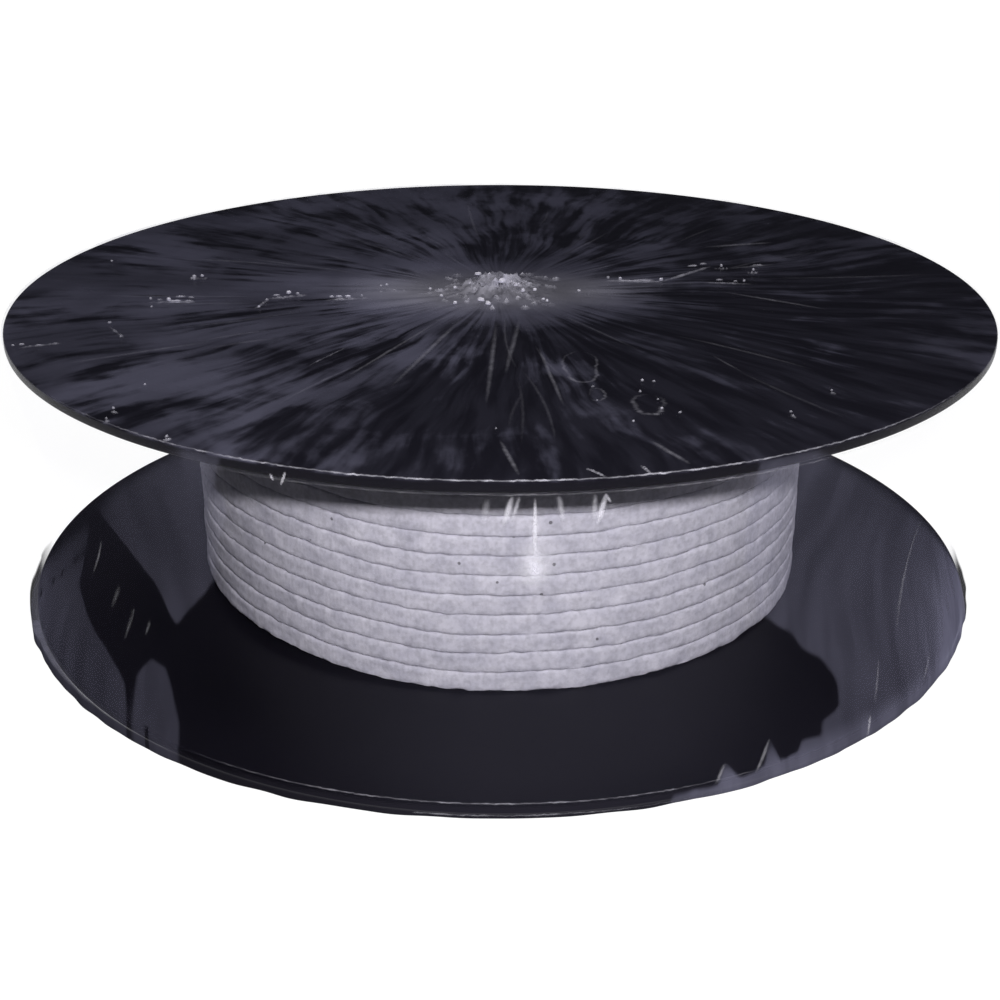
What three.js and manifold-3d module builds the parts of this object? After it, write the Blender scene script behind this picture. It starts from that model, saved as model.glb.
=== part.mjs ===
// A reel of braided gland packing, shrink-wrapped in clear film.
// The reel lies flat: two thin black discs on a core tube hold nine layers of
// square white cord, and one clear film is drawn over both discs and gathered
// at the middle of each face. Millimetres, +Z up. The origin is the middle of
// the underside, and -Y is the side that is called the front.

import * as THREE from 'three';
import { mergeVertices } from 'three/addons/utils/BufferGeometryUtils.js';
import Module from 'manifold-3d';

// Cord and winding
const cordSide = 5; // square braided packing
const turnsAcross = 14; // turns side by side between the flanges
const layers = 9; // turns on top of one another
const windingSlack = 0.3; // from the winding to the flanges and to the core tube
const grooveWidth = 1.1; // the V where two turns meet
const grooveDepth = 0.8;
const endStep = 3.2; // how far the last half turns drop back at each flange

// The cord runs level around the reel and steps up half a turn at two places
const firstStepAt = 155; // degrees from the front, turning to the right
const secondStepAt = 332;
const stepSpan = 44; // degrees that one step takes

// Flanges and core
const flangeRadius = 125;
const flangeThickness = 2.5;
const boreRadius = 29; // hole through both flanges and the spigots
const spigotWall = 2.4; // collar that plugs into the core tube
const spigotHeight = 12;
const spigotClearance = 0.3;
const coreWall = 3.2;

// Film
const filmThickness = 0.3;
const filmClearance = 0.3; // air between the film and the flanges
const filmNeck = 7; // how far the film draws in between the flanges
const topHoleRadius = 3; // the tight gather on top
const bottomHoleRadius = 5; // the gather underneath, left flat
const knotHeight = 3.5; // how far the top gather stands up
const knotRadius = 15; // where the gather starts to rise
const foldHeight = 1.3; // radial folds near the gather
const rimFoldHeight = 0.5; // the same folds where they cross the rim
const lowerRimSlack = 1.2; // the film stands off the lower rim by this much
const foldCount = 22;

// Mesh fineness
const cordSegments = 60; // around the winding
const discSegments = 72; // around a flange or the core tube
const filmSegments = 88; // around the film, four to a fold
const neckStations = 6; // down the film between the flanges

// Heights, worked out from the sizes above
const lowerFlangeBottom = filmThickness + filmClearance;
const lowerFlangeTop = lowerFlangeBottom + flangeThickness;
const windingBottom = lowerFlangeTop + windingSlack;
const windingHeight = turnsAcross * cordSide;
const windingTop = windingBottom + windingHeight;
const upperFlangeBottom = windingTop + windingSlack;
const upperFlangeTop = upperFlangeBottom + flangeThickness;
const filmTop = upperFlangeTop + filmClearance + filmThickness / 2;

// Radii, worked out from the bore outwards
const spigotRadius = boreRadius + spigotWall;
const coreInnerRadius = spigotRadius + spigotClearance;
const coreOuterRadius = coreInnerRadius + coreWall;
const windingInnerRadius = coreOuterRadius + windingSlack;
const windingOuterRadius = windingInnerRadius + layers * cordSide;
const filmRimRadius = flangeRadius + filmClearance + filmThickness / 2;

const wasm = await Module();
wasm.setup();

// A point at a distance from the axis, an angle from the front and a height
function polar(radius, angle, height) {
  return [radius * Math.sin(angle), -radius * Math.cos(angle), height];
}

// A mesh from its points and faces, with points that coincide made one
function meshOf(points, faces) {
  const geometry = new THREE.BufferGeometry();
  geometry.setAttribute('position', new THREE.Float32BufferAttribute(points.flat(), 3));
  geometry.setIndex(faces.flat());
  return mergeVertices(geometry, 1e-4);
}

// A body turned about the axis, from a section of [radius, height] corners.
// The lathe turns about Y, and the rotation stands its axis up along Z.
function turned(section) {
  const closed = [...section, section[0]];
  return new THREE.LatheGeometry(
    closed.map(([radius, height]) => new THREE.Vector2(radius, height)),
    discSegments,
  ).rotateX(Math.PI / 2);
}

function toManifold(geometry) {
  const bare = geometry.clone();
  bare.deleteAttribute('normal');
  bare.deleteAttribute('uv');
  const merged = mergeVertices(bare, 1e-4);
  return new wasm.Manifold(
    new wasm.Mesh({
      numProp: 3,
      vertProperties: new Float32Array(merged.attributes.position.array),
      triVerts: new Uint32Array(merged.index.array),
    }),
  );
}

function fromManifold(solid) {
  const mesh = solid.getMesh();
  const geometry = new THREE.BufferGeometry();
  geometry.setAttribute('position', new THREE.BufferAttribute(mesh.vertProperties, 3));
  geometry.setIndex(new THREE.BufferAttribute(mesh.triVerts, 1));
  return geometry;
}

// A moulded disc with a collar on its inner side that plugs into the core tube.
// outer and inner are the heights of its two faces.
function flange(outer, inner) {
  const inward = Math.sign(inner - outer);
  const collarEnd = inner + inward * spigotHeight;
  const section = [
    [boreRadius, outer],
    [flangeRadius, outer],
    [flangeRadius, inner],
    [spigotRadius, inner],
    [spigotRadius, collarEnd],
    [boreRadius, collarEnd],
  ];
  return turned(inward > 0 ? section : section.reverse());
}

function coreTube() {
  return turned([
    [coreInnerRadius, windingBottom],
    [coreOuterRadius, windingBottom],
    [coreOuterRadius, windingTop],
    [coreInnerRadius, windingTop],
  ]);
}

// How many turns the cord has dropped, from 0 at the front to 1 after a lap
function lapDrop(degrees) {
  const step = (middle) =>
    THREE.MathUtils.smoothstep(degrees, middle - stepSpan / 2, middle + stepSpan / 2) / 2;
  return step(firstStepAt) + step(secondStepAt);
}

// The cord's radius along the helix, where place counts laps up from the lower
// flange. Whole turns reach the full radius, and the half turn that is left at
// each flange drops back towards the layer below.
function turnRadius(place) {
  const ramp = stepSpan / 360;
  const first = -firstStepAt / 360;
  const last = turnsAcross - secondStepAt / 360;
  const rise = THREE.MathUtils.smoothstep(place, first - ramp / 2, first + ramp / 2);
  const fall = THREE.MathUtils.smoothstep(place, last - ramp / 2, last + ramp / 2);
  return windingOuterRadius - endStep * (1 - rise + fall);
}

// One solid winding whose outside shows the turns: a ridged screw, a turn too
// long at each end, cut to the room between the flanges and bored for the core.
function packingWinding() {
  const cornersPerTurn = 3;
  const lowestTurn = -1;
  const turns = turnsAcross + 1 - lowestTurn;
  const rows = turns * cornersPerTurn;
  const points = [];
  for (let column = 0; column <= cordSegments; column += 1) {
    const lap = column / cordSegments;
    const angle = lap * 2 * Math.PI;
    for (let turn = lowestTurn; turn <= lowestTurn + turns; turn += 1) {
      const base = windingBottom + (turn - lapDrop(lap * 360)) * cordSide;
      const radius = turnRadius(turn - lap);
      const radiusBelow = turnRadius(turn - lap - 1);
      const groove = Math.min(radius, radiusBelow) - grooveDepth;
      points.push(polar(groove, angle, base));
      if (turn < lowestTurn + turns) {
        points.push(polar(radius, angle, base + grooveWidth / 2));
        points.push(polar(radius, angle, base + cordSide - grooveWidth / 2));
      }
    }
  }
  // After one lap the cord is a turn lower, so the last column lies on the first
  // one, and each end of the screw is a loop with one turn's height of it.
  const at = (column, row) => column * (rows + 1) + row;
  const faces = [];
  const lowLoop = [];
  const highLoop = [];
  for (let column = 0; column < cordSegments; column += 1) {
    for (let row = 0; row < rows; row += 1) {
      const [a, b] = [at(column, row), at(column + 1, row)];
      const [c, d] = [at(column + 1, row + 1), at(column, row + 1)];
      faces.push([a, b, c], [a, c, d]);
    }
    lowLoop.push(at(column, 0));
    highLoop.push(at(column, rows));
  }
  for (let row = 0; row < cornersPerTurn; row += 1) {
    lowLoop.push(at(cordSegments, row));
    highLoop.push(at(0, rows - cornersPerTurn + row));
  }
  closeWithFan(points, faces, lowLoop, windingBottom - 2 * cordSide, -1);
  closeWithFan(points, faces, highLoop, windingTop + 2 * cordSide, 1);
  const room = turned([
    [windingInnerRadius, windingBottom],
    [windingOuterRadius + cordSide, windingBottom],
    [windingOuterRadius + cordSide, windingTop],
    [windingInnerRadius, windingTop],
  ]);
  return fromManifold(toManifold(meshOf(points, faces)).intersect(toManifold(room)));
}

// Closes a loop of points with triangles to a point on the axis
function closeWithFan(points, faces, loop, height, facing) {
  const middle = points.length;
  points.push([0, 0, height]);
  loop.forEach((corner, index) => {
    const next = loop[(index + 1) % loop.length];
    faces.push(facing > 0 ? [middle, corner, next] : [middle, next, corner]);
  });
}

// The height of the folds at an angle, from 0 to 1, unevenly spaced
function foldWave(angle) {
  const drift = 1.1 * Math.sin(3 * angle) + 0.7 * Math.sin(5 * angle + 2);
  return 0.5 + 0.5 * Math.cos(foldCount * angle + drift);
}

// The film's section from the top gather over both rims to the bottom gather.
// Each station has a place on the film's middle surface, the direction out of
// the film there, and how far the folds lift it up and out.
function filmStations() {
  const stations = [];
  const add = (radius, height, out, up, aside) =>
    stations.push({ radius, height, out, up, aside });
  const topRadii = [0, 2.5, 6, 12, 22, 38, 62, 90, 112].map((step) => topHoleRadius + step);
  for (const radius of topRadii) {
    const rise = 1 - THREE.MathUtils.smoothstep(radius, topHoleRadius, knotRadius);
    const spread = THREE.MathUtils.smoothstep(radius, knotRadius, filmRimRadius);
    const lift = THREE.MathUtils.lerp(foldHeight, rimFoldHeight, spread);
    add(radius, filmTop + knotHeight * rise, [0, 1], lift, 0);
  }
  add(filmRimRadius, filmTop, [1, 1], rimFoldHeight, rimFoldHeight);
  for (let index = 0; index <= neckStations; index += 1) {
    const share = index / neckStations;
    const height = THREE.MathUtils.lerp(upperFlangeBottom, lowerFlangeTop, share);
    const neck = filmNeck * 0.5 * (1 - Math.cos(2 * Math.PI * share));
    const slack = lowerRimSlack * share;
    const fold = rimFoldHeight * Math.abs(Math.cos(Math.PI * share));
    add(filmRimRadius + slack - neck, height, [1, 0], 0, fold);
  }
  const underside = filmThickness / 2;
  add(filmRimRadius + lowerRimSlack, underside, [1, -1], 0, rimFoldHeight);
  for (const share of [0.85, 0.45, 0]) {
    const radius = THREE.MathUtils.lerp(bottomHoleRadius, flangeRadius, share);
    add(radius, underside, [0, -1], 0, 0);
  }
  return stations;
}

// The film is one closed shell: its outside from gather to gather, and its
// inside back again, at every angle round the reel.
function filmWrap() {
  const stations = filmStations();
  const outAndBack = [
    ...stations.map((station) => ({ ...station, side: 0.5 })),
    ...stations.map((station) => ({ ...station, side: -0.5 })).reverse(),
  ];
  const count = outAndBack.length;
  const points = [];
  const faces = [];
  for (let column = 0; column < filmSegments; column += 1) {
    const angle = (column / filmSegments) * 2 * Math.PI;
    const wave = foldWave(angle);
    outAndBack.forEach(({ radius, height, out, up, aside, side }, row) => {
      const offset = side * filmThickness;
      points.push(polar(
        radius + out[0] * offset + aside * wave,
        angle,
        height + out[1] * offset + up * wave,
      ));
      const nextColumn = ((column + 1) % filmSegments) * count;
      const nextRow = (row + 1) % count;
      const [a, b] = [column * count + row, nextColumn + row];
      const [c, d] = [nextColumn + nextRow, column * count + nextRow];
      faces.push([a, c, b], [a, d, c]);
    });
  }
  return meshOf(points, faces);
}

const blackPlastic = { color: 0x1b1a20, roughness: 0.45, metalness: 0 };
const whiteBraid = { color: 0xcdcbd4, roughness: 0.8, metalness: 0 };
const greyCard = { color: 0x8d8880, roughness: 0.9, metalness: 0 };
const clearFilm = {
  color: 0xe6e6ec, roughness: 0.12, metalness: 0, transparent: true, opacity: 0.25,
};

const group = new THREE.Group();

function addPart(name, geometry, look) {
  const mesh = new THREE.Mesh(geometry, new THREE.MeshStandardMaterial(look));
  mesh.name = name;
  group.add(mesh);
}

addPart('lower_flange', flange(lowerFlangeBottom, lowerFlangeTop), blackPlastic);
addPart('upper_flange', flange(upperFlangeTop, upperFlangeBottom), blackPlastic);
addPart('core_tube', coreTube(), greyCard);
addPart('packing_winding', packingWinding(), whiteBraid);
addPart('film_wrap', filmWrap(), clearFilm);

export default group;
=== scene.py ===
import math

import bpy
import numpy as np
from mathutils import Matrix, Vector


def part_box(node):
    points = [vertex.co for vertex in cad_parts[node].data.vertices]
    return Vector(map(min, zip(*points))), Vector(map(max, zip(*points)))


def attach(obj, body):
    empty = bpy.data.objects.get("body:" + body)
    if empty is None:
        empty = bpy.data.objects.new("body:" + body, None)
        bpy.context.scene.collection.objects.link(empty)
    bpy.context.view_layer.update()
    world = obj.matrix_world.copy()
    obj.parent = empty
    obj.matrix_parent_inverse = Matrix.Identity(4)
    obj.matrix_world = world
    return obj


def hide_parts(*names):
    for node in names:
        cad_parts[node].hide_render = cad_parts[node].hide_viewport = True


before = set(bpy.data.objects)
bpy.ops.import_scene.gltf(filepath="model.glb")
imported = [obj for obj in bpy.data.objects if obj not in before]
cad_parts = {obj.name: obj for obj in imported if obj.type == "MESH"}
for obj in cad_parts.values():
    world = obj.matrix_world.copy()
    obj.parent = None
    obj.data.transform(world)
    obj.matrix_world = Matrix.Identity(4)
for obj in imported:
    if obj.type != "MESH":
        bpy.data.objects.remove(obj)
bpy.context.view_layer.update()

# The view. The photo was taken from a little above the front of the spool, at
# the distance of a hand-held camera, so every place is worked out from the
# flange radius and the solved angle and distance.
flange_low, flange_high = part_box("lower_flange")
flange_radius = (flange_high[0] - flange_low[0]) / 2
camera_back = 3.2115 * flange_radius
camera_up = 1.5577 * flange_radius + flange_low[2]
camera_pitch = 0.41835
camera_roll = 0.0016
focal_pixels = 1590
photo_pixels = 1000
sensor_width = 36.0

camera_data = bpy.data.cameras.new("photo_camera")
camera_data.sensor_width = sensor_width
camera_data.lens = sensor_width * focal_pixels / photo_pixels
camera = bpy.data.objects.new("photo_camera", camera_data)
look_down = Matrix.Rotation(math.pi / 2 - camera_pitch, 4, "X")
camera.matrix_world = (
    Matrix.Translation((0, -camera_back, camera_up))
    @ look_down
    @ Matrix.Rotation(camera_roll, 4, "Z")
)
bpy.context.collection.objects.link(camera)
bpy.context.scene.camera = camera
bpy.context.scene.view_settings.view_transform = "Standard"


# The studio: a white floor that fades out white, a small lamp just above the
# lens that throws the upper flange's shadow on the cord, and soft lamps behind.
def nodes_of(material):
    material.use_nodes = True
    tree = material.node_tree
    tree.nodes.clear()
    return tree


def add_node(tree, kind, inputs=None, **settings):
    node = tree.nodes.new(kind)
    for name, value in settings.items():
        setattr(node, name, value)
    for name, value in (inputs or {}).items():
        socket = node.inputs[name]
        if isinstance(value, bpy.types.NodeSocket):
            tree.links.new(value, socket)
        else:
            socket.default_value = value
    return node


def calculate(tree, operation, *values):
    node = tree.nodes.new("ShaderNodeMath")
    node.operation = operation
    for socket, value in zip(node.inputs, values):
        if isinstance(value, bpy.types.NodeSocket):
            tree.links.new(value, socket)
        else:
            socket.default_value = value
    return node.outputs[0]


def vector_math(tree, operation, *values):
    node = add_node(tree, "ShaderNodeVectorMath", dict(enumerate(values)), operation=operation)
    return node.outputs["Value"] if operation == "LENGTH" else node.outputs["Vector"]


def mixed(tree, share, first, second):
    """Mixes two shaders, with the given share of the second."""
    node = add_node(tree, "ShaderNodeMixShader", {"Fac": share})
    tree.links.new(first.outputs[0], node.inputs[1])
    tree.links.new(second.outputs[0], node.inputs[2])
    return node


def finish_material(tree, shader):
    add_node(tree, "ShaderNodeOutputMaterial", {"Surface": shader})


def lamp(name, place, aim, size, power, colour=(1, 1, 1), glint=True):
    data = bpy.data.lights.new(name, "AREA")
    data.shape = "RECTANGLE"
    data.size, data.size_y = size
    data.energy = power
    data.color = colour
    light = bpy.data.objects.new(name, data)
    light.location = place
    light.visible_glossy = glint
    direction = Vector(aim) - Vector(place)
    light.rotation_euler = direction.to_track_quat("-Z", "Y").to_euler()
    bpy.context.collection.objects.link(light)


floor_reach = 4.0
floor_white = 0.97
floor_grey = 0.14
painted_shadow_reach = 0.8 * flange_radius
bpy.ops.object.select_all(action="DESELECT")
bpy.ops.mesh.primitive_circle_add(
    vertices=64, radius=floor_reach, fill_type="NGON", location=(0, 0, -0.0001)
)
floor = bpy.context.object
floor.name = "studio_floor"
floor_material = bpy.data.materials.new("studio_floor_white")
tree = nodes_of(floor_material)
path = add_node(tree, "ShaderNodeLightPath").outputs
seen = calculate(tree, "MAXIMUM", path["Is Camera Ray"], path["Is Glossy Ray"])
seen = calculate(tree, "MAXIMUM", seen, path["Is Transmission Ray"])
# The floor's glow is left out under the spool, as a painted shadow, so no white shows down its
# bore
on_floor = add_node(tree, "ShaderNodeTexCoord").outputs["Object"]
from_axis = vector_math(tree, "LENGTH", on_floor)
outside_painted_shadow = calculate(tree, "GREATER_THAN", from_axis, painted_shadow_reach)
seen = calculate(tree, "MULTIPLY", seen, outside_painted_shadow)
paint = add_node(tree, "ShaderNodeBsdfDiffuse", {"Color": (floor_grey, floor_grey, floor_grey, 1)})
glow = add_node(
    tree,
    "ShaderNodeEmission",
    {"Color": (1, 1, 1, 1), "Strength": calculate(tree, "MULTIPLY", seen, floor_white)},
)
both = add_node(tree, "ShaderNodeAddShader")
tree.links.new(paint.outputs[0], both.inputs[0])
tree.links.new(glow.outputs[0], both.inputs[1])
finish_material(tree, both.outputs[0])
floor.data.materials.append(floor_material)

world = bpy.data.worlds.new("studio_room")
bpy.context.scene.world = world
tree = nodes_of(world)
path = add_node(tree, "ShaderNodeLightPath").outputs
faint_light = add_node(
    tree, "ShaderNodeBackground", {"Color": (0.80, 0.80, 1.0, 1), "Strength": 0.034}
)
white_wall = add_node(tree, "ShaderNodeBackground", {"Color": (1, 1, 1, 1), "Strength": 1.0})
room = add_node(tree, "ShaderNodeMixShader", {"Fac": path["Is Camera Ray"]})
tree.links.new(faint_light.outputs[0], room.inputs[1])
tree.links.new(white_wall.outputs[0], room.inputs[2])
add_node(tree, "ShaderNodeOutputWorld", {"Surface": room.outputs[0]})

lamp_above_lens = 0.028
spool_middle = (0, 0, 0.04)
lamp(
    "camera_lamp",
    (0.020, -camera_back + 0.004, camera_up + lamp_above_lens),
    (0, -0.08, 0.035),
    (0.024, 0.014),
    1.32,
    (1.0, 0.985, 1.0),
    glint=False,
)
for name, around, back_off, height, power in (
    ("window_lamp_right", 100, 1.3, 0.49, 3.2),
    ("soft_lamp_back_right", 160, 1.5, 0.24, 7.0),
    ("soft_lamp_back_left", -150, 1.5, 0.24, 7.5),
):
    around = math.radians(around)
    lamp(
        name,
        (math.sin(around) * back_off, -math.cos(around) * back_off, height),
        spool_middle,
        (0.7, 0.6),
        power,
        (0.94, 0.93, 1.0),
        glint=False,
    )


# The two flanges are thin black moulded discs, each with a bore and a short
# collar on its inner side that plugs into the core tube.
def only(piece):
    bpy.ops.object.select_all(action="DESELECT")
    piece.select_set(True)
    bpy.context.view_layer.objects.active = piece


def edit(piece):
    only(piece)
    bpy.ops.object.mode_set(mode="EDIT")


def choose(piece, kind, test):
    """Selects the piece's faces or edges that pass the test, in edit mode."""
    mode = {"vertices": "VERT", "edges": "EDGE", "polygons": "FACE"}[kind]
    bpy.ops.mesh.select_mode(type=mode)
    bpy.ops.mesh.select_all(action="DESELECT")
    bpy.ops.object.mode_set(mode="OBJECT")
    for item in getattr(piece.data, kind):
        item.select = test(item)
    bpy.ops.object.mode_set(mode="EDIT")


def settle(piece):
    """Applies the object's place, so that it sits at the origin."""
    bpy.ops.object.mode_set(mode="OBJECT")
    only(piece)
    bpy.ops.object.transform_apply(location=True, rotation=True, scale=True)


def ramp(tree, value, low, high, start=0.0, end=1.0, kind="SMOOTHSTEP"):
    """A rise from start to end as the value goes from low to high."""
    node = add_node(
        tree,
        "ShaderNodeMapRange",
        {"Value": value, "From Min": low, "From Max": high, "To Min": start, "To Max": end},
        interpolation_type=kind,
    )
    return node.outputs["Result"]


def uneven(tree, place, scale, detail, roughness=0.5, distortion=0.0):
    settings = {
        "Vector": place,
        "Scale": scale,
        "Detail": detail,
        "Roughness": roughness,
        "Distortion": distortion,
    }
    return add_node(tree, "ShaderNodeTexNoise", settings).outputs["Fac"]


disc_sides = 256
rim_round = 0.0005
bore_radius = 0.029
collar_wall = 0.0024
collar_height = 0.012
disc_thickness = 0.0025


def flange(node, name, outer_height, inner_height):
    inward = 1 if inner_height > outer_height else -1
    bpy.ops.object.select_all(action="DESELECT")
    bpy.ops.mesh.primitive_cylinder_add(
        vertices=disc_sides,
        radius=flange_radius,
        depth=disc_thickness,
        location=(0, 0, (outer_height + inner_height) / 2),
    )
    disc = bpy.context.object
    disc.name = name
    settle(disc)
    edit(disc)
    choose(disc, "polygons", lambda face: abs(face.normal.z) > 0.9)
    bpy.ops.mesh.inset(thickness=flange_radius - bore_radius - collar_wall)
    bpy.ops.mesh.inset(thickness=collar_wall)
    bpy.ops.mesh.bridge_edge_loops()
    middle = bore_radius + collar_wall / 2

    def on_collar(face):
        reach = math.hypot(face.center.x, face.center.y)
        near = abs(reach - middle) < collar_wall / 2
        return near and face.normal.z * inward > 0.9

    choose(disc, "polygons", on_collar)
    bpy.ops.mesh.extrude_region_move(
        TRANSFORM_OT_translate={"value": (0, 0, inward * collar_height)}
    )

    def on_rim(edge):
        ends = [disc.data.vertices[i].co for i in edge.vertices]
        far = all(math.hypot(p.x, p.y) > flange_radius * 0.999 for p in ends)
        return far and abs(ends[0].z - ends[1].z) < 1e-5

    choose(disc, "edges", on_rim)
    bpy.ops.mesh.bevel(offset=rim_round, segments=4)
    bpy.ops.mesh.select_all(action="SELECT")
    bpy.ops.mesh.normals_make_consistent(inside=False)
    bpy.ops.object.mode_set(mode="OBJECT")
    bpy.ops.object.shade_smooth_by_angle(angle=math.radians(35))
    disc.data.materials.append(moulded_black)
    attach(disc, "root")
    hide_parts(node)
    return disc


# Black moulded plastic: nearly smooth, with faint swirls and fine scuffs
moulded_black = bpy.data.materials.new("moulded_black")
tree = nodes_of(moulded_black)
place = add_node(tree, "ShaderNodeTexCoord").outputs["Object"]
scuffs = uneven(tree, place, 260.0, 6.0)
clouds = uneven(tree, place, 28.0, 4.0)
tint = add_node(tree, "ShaderNodeValToRGB", {"Fac": clouds})
tint.color_ramp.elements[0].color = (0.0034, 0.0031, 0.0056, 1)
tint.color_ramp.elements[1].color = (0.0078, 0.0071, 0.0112, 1)
polish = ramp(tree, scuffs, 0.0, 1.0, 0.24, 0.42, "LINEAR")
grain = add_node(
    tree, "ShaderNodeBump", {"Height": scuffs, "Strength": 0.08, "Distance": 0.0002}
).outputs["Normal"]
shader = add_node(
    tree,
    "ShaderNodeBsdfPrincipled",
    {
        "Base Color": tint.outputs["Color"],
        "Roughness": polish,
        "Specular IOR Level": 0.08,
        "Normal": grain,
    },
)
finish_material(tree, shader.outputs["BSDF"])

upper_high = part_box("upper_flange")[1]
flange("lower_flange", "lower_disc", flange_low[2], flange_low[2] + disc_thickness)
flange("upper_flange", "upper_disc", upper_high[2], upper_high[2] - disc_thickness)


# The core tube is plain wound board with the seams of its spiral plies, coloured near black rather
# than grey-brown, as painted shade down the bore. The cord is wound on it and the flanges' collars
# plug into its ends.
board = bpy.data.materials.new("wound_board_painted_shade")
tree = nodes_of(board)
place = add_node(tree, "ShaderNodeTexCoord").outputs["Object"]
parts = add_node(tree, "ShaderNodeSeparateXYZ", {"Vector": place}).outputs
turn = calculate(tree, "ARCTAN2", parts["Y"], parts["X"])
plies_per_metre = 45.0
seam_share = 0.03
plies_up = calculate(tree, "MULTIPLY", parts["Z"], plies_per_metre)
turns_round = calculate(tree, "MULTIPLY", turn, 1 / math.tau)
ply = calculate(tree, "ADD", plies_up, turns_round)
seam = calculate(tree, "LESS_THAN", calculate(tree, "FRACT", ply), seam_share)
fibres = uneven(tree, place, 900.0, 3.0)
# Painted shade: the board's tones are near black, so its inside looks shaded down the bore
tone = add_node(tree, "ShaderNodeValToRGB", {"Fac": fibres})
tone.color_ramp.elements[0].color = (0.012, 0.0115, 0.015, 1)
tone.color_ramp.elements[1].color = (0.020, 0.019, 0.024, 1)
seamed = add_node(
    tree,
    "ShaderNodeMixRGB",
    {"Fac": seam, "Color1": tone.outputs["Color"], "Color2": (0.008, 0.0075, 0.010, 1)},
)
shader = add_node(
    tree,
    "ShaderNodeBsdfPrincipled",
    {"Base Color": seamed.outputs["Color"], "Roughness": 0.85},
)
finish_material(tree, shader.outputs["BSDF"])
core = bpy.data.objects["core_tube"]
for slot in core.material_slots:
    slot.material = board


# The packing is square white braid, wound in level turns that step up half a
# turn at two places. Only the outer layer shows: its flat faces, the thin dark
# grooves between turns, and the loose fibres of the braid.
winding_low, winding_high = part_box("packing_winding")
cord_side = 0.005
turns_across = round((winding_high[2] - winding_low[2]) / cord_side)
winding_radius = (winding_high[0] - winding_low[0]) / 2
core_outer_radius = (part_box("core_tube")[1][0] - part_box("core_tube")[0][0]) / 2
winding_bore = core_outer_radius + 0.0003
groove_depth = 0.0006
end_step = 0.0032
step_places = (155.0, 332.0)
step_span = 44.0
spare_turns = 1
rows_per_turn = 9
columns_round = 620


def smooth_step(x, low, high):
    share = np.clip((x - low) / (high - low), 0, 1)
    return share * share * (3 - 2 * share)


def ripples(x, y, z, waves, size, seed):
    """Smooth uneven values near -1 to 1: plane waves in chosen directions."""
    dice = np.random.default_rng(seed)
    total = np.zeros_like(x)
    for _ in range(waves):
        way = dice.normal(size=3)
        way /= np.linalg.norm(way)
        rate = math.tau / size * dice.uniform(0.6, 1.6)
        total += np.sin(rate * (way[0] * x + way[1] * y + way[2] * z) + dice.uniform(0, 9))
    return total / math.sqrt(waves)


def shaped_grid(name, columns, rows, shape):
    """A flat grid whose vertices go where shape(across, along) puts them."""
    bpy.ops.object.select_all(action="DESELECT")
    bpy.ops.mesh.primitive_grid_add(x_subdivisions=columns, y_subdivisions=rows, size=1)
    piece = bpy.context.object
    piece.name = name
    flat = np.zeros(len(piece.data.vertices) * 3, np.float32)
    piece.data.vertices.foreach_get("co", flat)
    flat = flat.reshape(-1, 3).astype(float) + 0.5
    places = np.stack(shape(flat[:, 0], flat[:, 1]), axis=1)
    piece.data.vertices.foreach_set("co", places.astype(np.float32).ravel())
    piece.data.update()
    return piece


def lap_drop(lap):
    degrees = lap * 360
    half = step_span / 2
    return sum(smooth_step(degrees, at - half, at + half) / 2 for at in step_places)


def turn_radius(place):
    ramp = step_span / 720
    first = -step_places[0] / 360
    last = turns_across - step_places[1] / 360
    rise = smooth_step(place, first - ramp, first + ramp)
    fall = smooth_step(place, last - ramp, last + ramp)
    return winding_radius - end_step * (1 - rise + fall)


def winding_shape(lap, share):
    turns = turns_across + 2 * spare_turns
    count = share * turns - spare_turns
    turn = np.floor(count + 1e-6)
    across = 0.5 - 0.5 * np.cos(math.pi * (count - turn))
    place = turn - lap
    angle = lap * math.tau
    round_x, round_y = np.cos(angle) * winding_radius, np.sin(angle) * winding_radius
    along = (place + across) * cord_side * 2.3
    face = (1 - np.abs(2 * across - 1) ** 7) ** 0.45
    radius = turn_radius(place)
    below = turn_radius(place - 1)
    radius = np.where(across < 1e-4, np.minimum(radius, below), radius)
    bulge = ripples(round_x, round_y, along, 14, 0.016, 3) * 0.00012
    fibre = ripples(round_x, round_y, along, 24, 0.0028, 5) * 0.00007
    edge = np.abs(2 * across - 1) ** 2
    ragged = ripples(round_x, round_y, along, 20, 0.0045, 9) * 0.00010 * edge
    radius = radius - groove_depth * (1 - face) + bulge * face + fibre + ragged
    groove_line = np.round(count) - lap
    wander = ripples(round_x, round_y, groove_line * cord_side * 2.3, 16, 0.030, 7) * 0.00016
    nick = ripples(round_x, round_y, groove_line * cord_side * 2.3, 20, 0.006, 8) * 0.00013
    height = winding_low[2] + (turn + across - lap_drop(lap)) * cord_side
    height = height + (wander + nick) * edge
    return radius * np.sin(angle), -radius * np.cos(angle), height


winding = shaped_grid(
    "packing_turns",
    columns_round,
    rows_per_turn * (turns_across + 2 * spare_turns),
    winding_shape,
)
edit(winding)
bpy.ops.mesh.select_all(action="SELECT")
bpy.ops.mesh.remove_doubles(threshold=0.00002)
for height, outward in ((winding_low[2], -1), (winding_high[2], 1)):
    bpy.ops.mesh.select_all(action="SELECT")
    bpy.ops.mesh.bisect(
        plane_co=(0, 0, height),
        plane_no=(0, 0, outward),
        clear_outer=True,
        threshold=0.000001,
    )
    choose(
        winding,
        "edges",
        lambda edge: all(
            abs(winding.data.vertices[i].co.z - height) < 1e-5 for i in edge.vertices
        ),
    )
    bpy.ops.mesh.extrude_region_move()
    bpy.ops.object.mode_set(mode="OBJECT")
    for vertex in winding.data.vertices:
        if vertex.select:
            reach = math.hypot(vertex.co.x, vertex.co.y)
            vertex.co.x *= winding_bore / reach
            vertex.co.y *= winding_bore / reach
            vertex.co.z = height
    bpy.ops.object.mode_set(mode="EDIT")
bpy.ops.object.mode_set(mode="OBJECT")
bpy.ops.object.shade_smooth_by_angle(angle=math.radians(60))

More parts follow.
